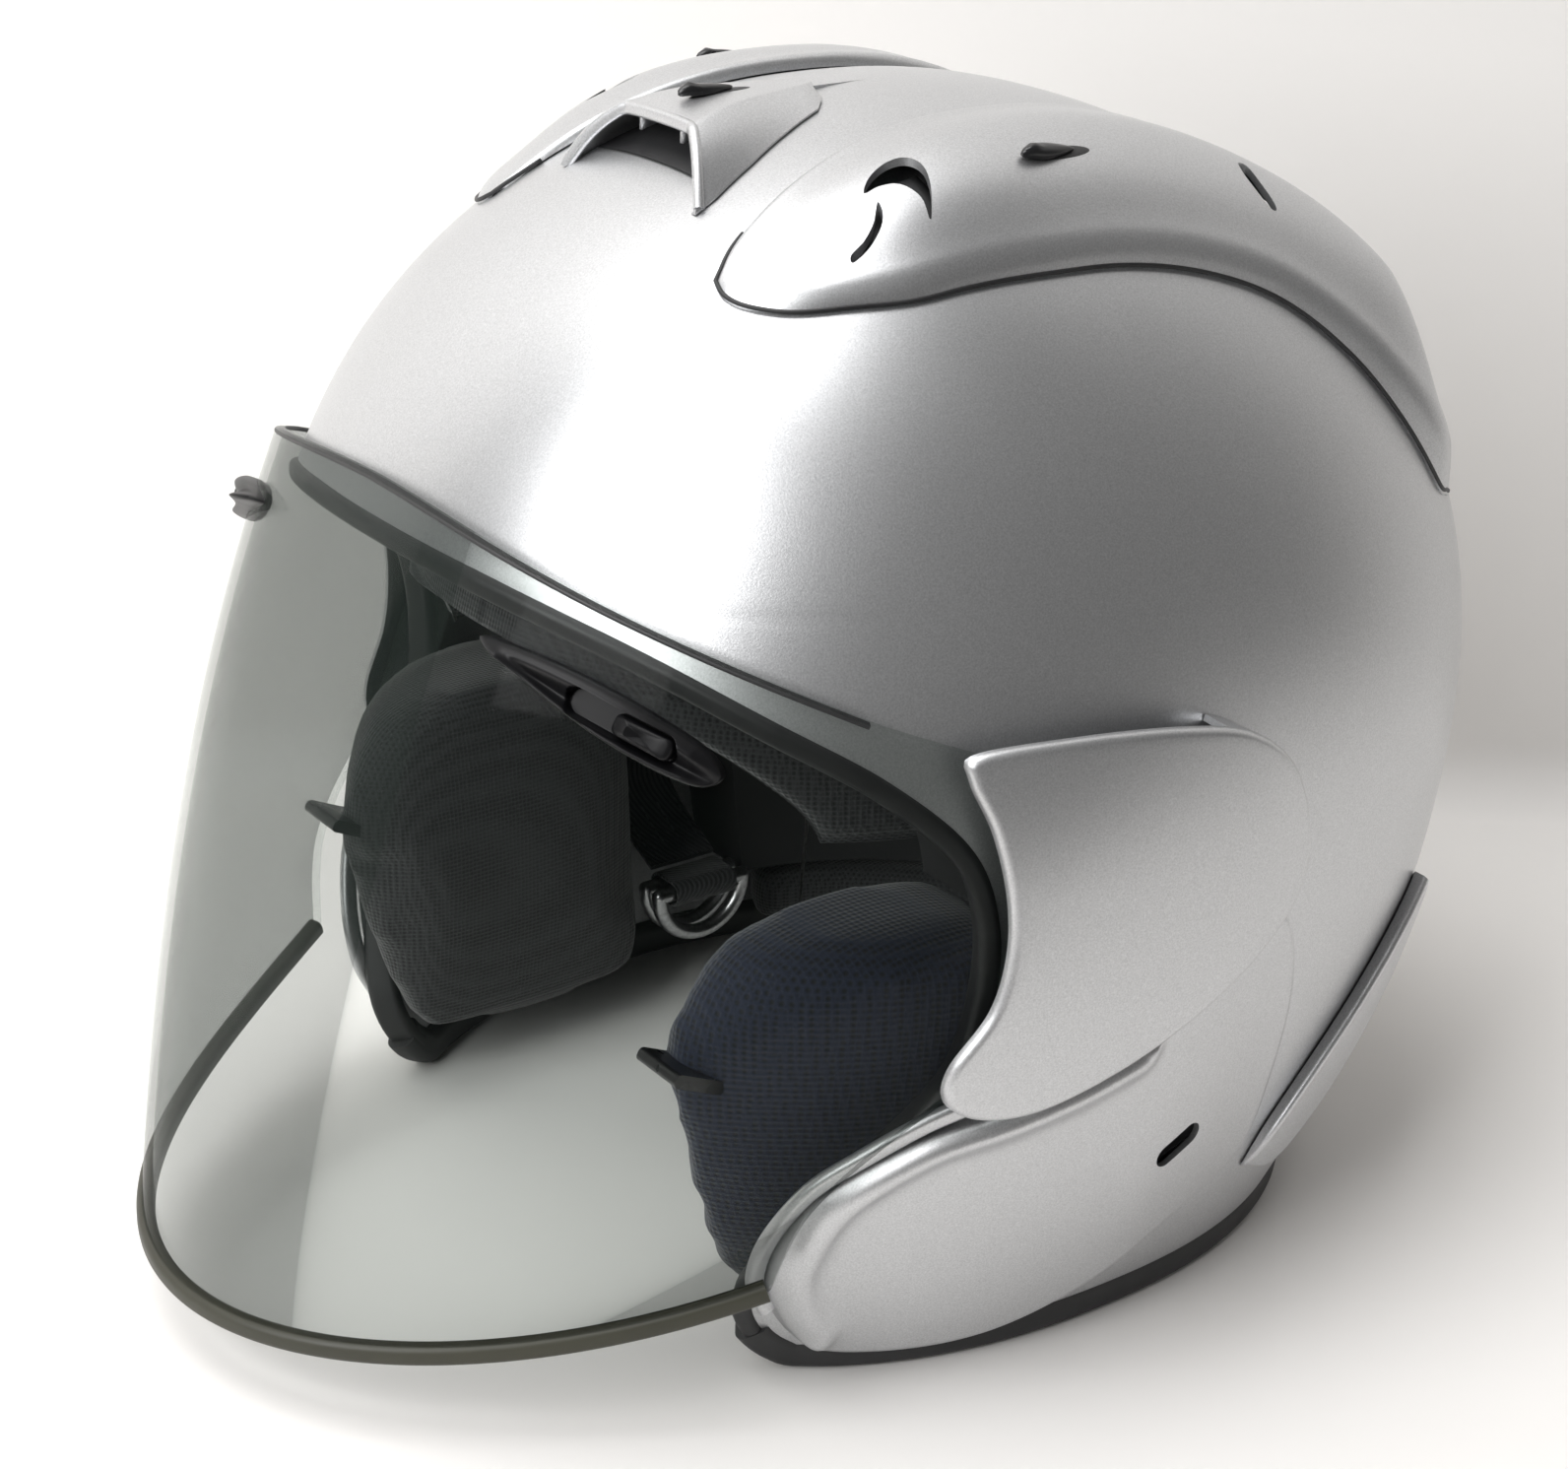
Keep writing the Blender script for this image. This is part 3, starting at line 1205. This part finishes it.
def swell(obj, pressure=4.0, cap=7.0, voxel=4.5, frames=20):
    """Fills a closed soft form by cloth simulation, then applies the result."""
    mod = obj.modifiers.new("skin", "REMESH")
    mod.mode = "VOXEL"
    mod.voxel_size = voxel / 1000.0
    apply_modifiers(obj)
    start = object_points(obj)
    cloth = obj.modifiers.new("cloth", "CLOTH")
    cloth.settings.quality = 5
    cloth.settings.mass = 0.3
    cloth.settings.tension_stiffness = 15
    cloth.settings.compression_stiffness = 15
    cloth.settings.bending_stiffness = 0.5
    cloth.settings.use_pressure = True
    cloth.settings.uniform_pressure_force = pressure
    cloth.settings.effector_weights.gravity = 0
    cloth.collision_settings.use_collision = False
    scene = bpy.context.scene
    scene.frame_start = 1
    scene.frame_end = frames
    for f in range(1, frames + 1):
        scene.frame_set(f)
    apply_modifiers(obj)
    moved = object_points(obj) - start
    far = np.linalg.norm(moved, axis=1)
    moved *= np.minimum(1.0, cap / np.maximum(far, 1e-9))[:, None]
    set_points(obj, start + moved)
    scene.frame_set(1)
    mod = obj.modifiers.new("smooth", "SUBSURF")
    mod.levels = 1
    apply_modifiers(obj)
    obj.data.shade_smooth()
    return obj


CHEEK = [(13, 16), (12, 50), (16, 88), (30, 104), (58, 108), (84, 104), (98, 89), (105, 68), (105, 46),
         (98, 26), (84, 13), (60, 9.5), (34, 9.5)]


def build_cheek(side, material):
    edge = smooth_curve(CHEEK, 120, closed=True)
    sign = 1.0 if side == "left" else -1.0
    rows = []
    centre = np.array([60.0, 58.0])
    inner = inward(edge, 4.0)
    for _ in range(80):
        narrow = on_side(inner[:, 0], inner[:, 1], -9.5)[:, 1] < 67.5
        inner[:, 0] -= 0.5 * narrow
    outer = on_side(inner[:, 0], inner[:, 1], -9.5)
    for f, level in ((0.0, 1.0), (0.35, 1.0), (0.7, 1.0), (0.9, 1.0), (0.97, 0.93)):
        flat = centre + (inner - centre) * f
        wall = on_side(flat[:, 0], flat[:, 1], -9.5)
        rows.append(np.stack([flat[:, 0], wall[:, 1] * level, flat[:, 1]], -1))
    deep = outer[:, 1]
    for t in (0.85, 0.6, 0.35, 0.15):
        rows.append(np.stack([inner[:, 0], 62.5 + (deep * 0.93 - 62.5) * t, inner[:, 1]], -1))
    for f, y in ((0.93, 63.0), (0.7, 62.0), (0.4, 61.5), (0.0, 61.5)):
        flat = centre + (inner - centre) * f
        rows.append(np.stack([flat[:, 0], np.full(120, y), flat[:, 1]], -1))
    verts = np.concatenate(rows) * [1, sign, 1]
    obj = add_object("cheek_cushion_" + side, verts, grid_faces(len(rows), 120, False, True), material)
    tidy(obj, 0.01)
    swell(obj)
    p = object_points(obj)
    p = hold_inside(p, -7.2)
    p[:, 2] = np.maximum(p[:, 2], 9.6)
    set_points(obj, p)
    return place(obj, "helmet", "cheek_pad_" + side, slot="mesh_fabric")


build_cheek("left", MESH_NAVY)
build_cheek("right", MESH_GREY)


LINING_DEPTH = -32.0


def crown_start(z):
    """Angle at which the crown lining starts at level z, behind the eye port."""
    edge = smooth_curve(EYE_EDGE, 400)
    along = np.gradient(edge, axis=0)
    along /= np.linalg.norm(along, axis=1)[:, None]
    moved = edge + np.stack([along[:, 1], -along[:, 0]], -1) * -9.5
    if moved[:, 1].max() < z:
        return 0.0
    order = np.argsort(moved[:, 1])
    x = np.interp(z, moved[order, 1], moved[order, 0])
    front = section(z, LINING_DEPTH)[0]
    if x >= front - 0.5:
        return 0.0
    point = on_side(np.array(x), np.array(z), LINING_DEPTH)
    return math.atan2(point[1], point[0])


def build_crown_pad():
    """Quilted comfort lining: panels puff inwards between sewn seams."""
    seams = np.radians([0, 42, 90, 138, 180, 222, 270, 318, 360])
    ring_seams = (150.0, 196.0)
    top = CROWN_Z + LINING_DEPTH
    lowest = math.asin(-3.0 / (top - WIDEST_Z))
    levels = WIDEST_Z + (top - WIDEST_Z) * np.sin(np.linspace(lowest, math.pi / 2, 64))
    columns = 300
    inner_rows = []
    outer_rows = []
    for z in levels:
        start = max(crown_start(z), 0.0)
        angle = np.linspace(start, 2 * math.pi - start, columns)
        middle = shell_at(angle, z, LINING_DEPTH)
        spread = np.linalg.norm(middle[:, :2], axis=1)
        gap = np.abs(angle[:, None] - seams[None, :]).min(1) * spread
        puff = 1 - np.exp(-(gap / 5.0) ** 2)
        puff = puff * min(1 - math.exp(-((z - s) / 5.0) ** 2) for s in ring_seams)
        edge = np.minimum(1.0, (angle - start) * spread / 5.0) if start > 0 else np.ones(columns)
        edge = np.minimum(edge, (2 * math.pi - start - angle) * spread / 5.0) if start > 0 else edge
        foot = min(1.0, (z - levels[0]) / 5.0)
        soft = np.sqrt(np.clip(np.minimum(edge, foot), 0.0, 1.0))
        half = 3.2 * soft
        inner_rows.append((angle, z, LINING_DEPTH - half + 0.2 - 0.1 * puff + 2.3 * (1 - puff) * soft))
        outer_rows.append((angle, z, LINING_DEPTH + half))
    verts = []
    for rows in (outer_rows, inner_rows):
        for angle, z, h in rows:
            middle = shell_at(angle, z, LINING_DEPTH)
            centre = np.stack([middle[:, 0] * 0.15, middle[:, 1] * 0.15, np.full(columns, z * 0.2 + 90)], -1)
            away = middle - centre
            away /= np.linalg.norm(away, axis=1)[:, None]
            verts.append(middle + away * (h - LINING_DEPTH)[:, None])
    n = len(levels)
    faces = grid_faces(n, columns) + [f[::-1] for f in grid_faces(n, columns, start=n * columns)]
    under = n * columns
    for i in range(n - 1):
        for j in (0, columns - 1):
            here = i * columns + j
            above = here + columns
            faces.append((here, above, under + above, under + here))
    for j in range(columns - 1):
        faces.append((j, j + 1, under + j + 1, under + j))
    obj = add_object("crown_lining", np.concatenate(verts), faces, MESH_GREY)
    tidy(obj, 0.02)
    return place(obj, "helmet", "crown_pad", slot="mesh_fabric")


build_crown_pad()


def build_neck_roll():
    angle = np.radians(np.linspace(112, 248, 110))
    path = shell_at(angle, 15.0, -15.8)
    away = shell_at(angle, 15.0, -14.8) - path
    ups = away / np.linalg.norm(away, axis=1)[:, None]
    obj = sweep("neck_cushion", path, ups, rounded_box(16.0, 12.5, 5.5, 6), MESH_GREY)
    swell(obj, 12.0, 2.2, 4.0)
    p = hold_inside(object_points(obj), -7.5)
    p[:, 2] = np.clip(p[:, 2], 5.1, 24.9)
    set_points(obj, p)
    return place(obj, "helmet", "neck_roll", slot="mesh_fabric")


build_neck_roll()


# ------------------------------------------------------------------ chin straps
STRAP_X = -8.0
STRAP_TOP = [(112.9, 79), (111.9, 70), (110.0, 60), (104, 48.5)]
STRAP_LONG = [(95, 38), (86, 29), (78.5, 20), (73, 11), (64, 5), (50, 3), (36, 2.6), (22, 2.6)]
STRAP_SHORT = [(94, 40.5), (85, 35.8), (81.5, 34.2)]
THREAD = plain_moulded("thread", (0.06, 0.06, 0.065), (0.10, 0.10, 0.11), 0.6, 0.8, 900.0, 0.2)


def strap_path(pairs, sign, count):
    flat = smooth_curve(pairs, count)
    return np.stack([np.full(count, STRAP_X), sign * flat[:, 0], flat[:, 1]], -1)


def strap_ups(path):
    along = np.gradient(path, axis=0)
    along /= np.linalg.norm(along, axis=1)[:, None]
    return np.cross(np.broadcast_to([1.0, 0, 0], along.shape), along)


def build_strap(name, node, pairs, sign, count):
    path = strap_path(pairs, sign, count)
    obj = sweep(name, path, strap_ups(path), rounded_box(19.8, 1.7, 0.6, 3), WEBBING)
    return place(sharp_smooth(obj, 45), "helmet", node, slot="webbing")


def build_stitches(name, pairs, sign, count, first, last):
    """Two rows of short thread stitches across the folded end of a strap."""
    path = strap_path(pairs, sign, count)
    ups = strap_ups(path)
    verts = []
    faces = []
    for k in range(first, last, 4):
        for aside in (-8.0, 8.0, -2.5, 2.5):
            for face in (-1, 1):
                along = unit(path[k + 1] - path[k])
                centre = path[k] + np.array([aside, 0, 0]) + ups[k] * face * 0.9
                base = len(verts)
                for u, v, w in ((-1.1, 0, -0.1), (-0.7, 0.3, 0.12), (0.7, 0.3, 0.12), (1.1, 0, -0.1),
                                (0.7, -0.3, 0.12), (-0.7, -0.3, 0.12)):
                    verts.append(centre + along * u + np.array([v, 0, 0]) + ups[k] * face * w)
                faces.append(tuple(base + q for q in range(6)))
    obj = add_object(name, np.array(verts), faces, THREAD, smooth=False)
    return place(obj, "helmet", slot="webbing")


build_strap("strap_long_web", "chin_strap_long", STRAP_TOP + STRAP_LONG, 1.0, 150)
build_strap("strap_short_web", "chin_strap_short", STRAP_TOP + STRAP_SHORT, -1.0, 90)
build_stitches("strap_long_thread", STRAP_TOP + STRAP_LONG, 1.0, 150, 118, 142)
build_stitches("strap_short_thread", STRAP_TOP + STRAP_SHORT, -1.0, 90, 62, 82)


def build_ring_loop():
    """Webbing folded round the straight bars of both rings."""
    near, far, z, r = 72.9, 79.1, 30.0, 3.1
    pts = []
    for k in range(18):
        a = math.radians(90 + 180 * k / 17)
        pts.append((STRAP_X, -(near + r * math.cos(a)), z + r * math.sin(a)))
    for k in range(18):
        a = math.radians(270 + 180 * k / 17)
        pts.append((STRAP_X, -(far + r * math.cos(a)), z + r * math.sin(a)))
    path = np.array(pts)
    along = np.roll(path, -1, 0) - np.roll(path, 1, 0)
    along /= np.linalg.norm(along, axis=1)[:, None]
    ups = np.cross(np.broadcast_to([1.0, 0, 0], along.shape), along)
    obj = sweep("strap_short_loop", path, ups, rounded_box(18.6, 0.9, 0.35, 3), WEBBING, closed=True)
    return place(obj, "helmet", slot="webbing")


build_ring_loop()


# ------------------------------------------------------------------ finishes for the CAD pieces that stay
KEPT = {
    "eps_liner": FOAM,
    "cheek_tab_left": BLACK_GLOSS,
    "cheek_tab_right": BLACK_GLOSS,
    "shield_hub_left": BLACK_GLOSS,
    "shield_hub_right": BLACK_GLOSS,
    "pivot_plate_left": BLACK_RUBBER,
    "pivot_plate_right": BLACK_RUBBER,
    "d_ring_outer": STEEL,
    "d_ring_inner": STEEL,
    "strap_rivets": STEEL,
}
for node, material in KEPT.items():
    obj = frame["nodes"][node]
    if not obj.material_slots:
        obj.data.materials.append(material)
    for held in obj.material_slots:
        held.material = material


# ------------------------------------------------------------------ paper floor, camera and light
AZIMUTH = math.radians(53.83)
ELEVATION = math.radians(23.35)
ROLL = math.radians(1.15)
DISTANCE = 709.3
AIM_ASIDE = -15.5
AIM_UP = 101.0
FOCAL = 3081.4 / 1592.0

back = np.array([math.cos(ELEVATION) * math.cos(AZIMUTH), math.cos(ELEVATION) * math.sin(AZIMUTH),
                 math.sin(ELEVATION)])
right = np.array([-math.sin(AZIMUTH), math.cos(AZIMUTH), 0.0])
above = np.cross(back, right)
target = right * AIM_ASIDE + np.array([0, 0, AIM_UP])
eye = (target + back * DISTANCE) / 1000.0
eye[0] += SHIFT
axis_x = right * math.cos(ROLL) + above * math.sin(ROLL)
axis_y = -right * math.sin(ROLL) + above * math.cos(ROLL)
camera_data = bpy.data.cameras.new("camera")
camera_data.sensor_width = 36.0
camera_data.lens = 36.0 * FOCAL
camera_data.clip_start = 0.01
camera = bpy.data.objects.new("camera", camera_data)
bpy.context.scene.collection.objects.link(camera)
camera.matrix_world = Matrix(((axis_x[0], axis_y[0], back[0], eye[0]),
                              (axis_x[1], axis_y[1], back[1], eye[1]),
                              (axis_x[2], axis_y[2], back[2], eye[2]), (0, 0, 0, 1)))
bpy.context.scene.camera = camera
bpy.context.scene.view_settings.view_transform = "Standard"


def paper_material():
    mat, tree, shader, coords, _ = new_material("paper")
    fibre = add_noise(tree, coords, 240.0, 4.0, 0.6)
    wide = add_noise(tree, coords, 2.2, 2.0, 0.5)
    ramp = add_ramp(tree, wide.outputs[0], [(0.3, (0.86, 0.84, 0.82)), (0.7, (0.90, 0.885, 0.865))])
    tree.links.new(ramp.outputs[0], shader.inputs["Base Color"])
    shader.inputs["Roughness"].default_value = 0.8
    add_bump(tree, fibre.outputs[0], shader, 0.05, 0.0002)
    return mat


def build_paper():
    """Sheet of paper on the floor that turns up behind the helmet."""
    behind = 196.0
    bend = 18.0
    profile = [(330.0, 0.0), (200.0, 0.0), (0.0, 0.0), (-behind + bend, 0.0)]
    for k in range(1, 9):
        a = math.pi / 2 * k / 8
        profile.append((-behind + bend - bend * math.sin(a), bend - bend * math.cos(a)))
    profile += [(-behind, 300.0), (-behind, 1500.0)]
    way = np.array([math.cos(AZIMUTH), math.sin(AZIMUTH), 0.0])
    verts = []
    for reach, height in profile:
        for aside in np.linspace(-1800, 1800, 9):
            verts.append(way * reach + right * aside + np.array([0, 0, height]))
    paper = add_object("paper_floor", np.array(verts), grid_faces(len(profile), 9), paper_material())
    return paper


build_paper()


def area_light(name, aside, up, towards, size, power, colour=(1, 1, 1), aim=(0, 0, 120)):
    """Soft box placed beside, above and towards the camera from the helmet."""
    data = bpy.data.lights.new(name, "AREA")
    data.shape = "RECTANGLE"
    data.size = size[0]
    data.size_y = size[1]
    data.energy = power
    data.color = colour
    lamp = bpy.data.objects.new(name, data)
    way = np.array([math.cos(AZIMUTH), math.sin(AZIMUTH), 0.0])
    spot = Vector((right * aside + way * towards + np.array([0, 0, up])) / 1000.0)
    lamp.location = spot
    lamp.rotation_euler = (spot - Vector(aim) / 1000.0).to_track_quat("Z", "Y").to_euler()
    bpy.context.scene.collection.objects.link(lamp)
    return lamp


area_light("key_window", -900, 900, 900, (1.1, 1.1), 24.0)
area_light("top_bounce", -300, 1500, -100, (1.4, 1.0), 22.0)

world = bpy.data.worlds.new("room")
world.use_nodes = True
bpy.context.scene.world = world
sky = world.node_tree.nodes["Background"]
sky.inputs[0].default_value = (1.0, 0.985, 0.965, 1.0)
sky.inputs[1].default_value = 0.16
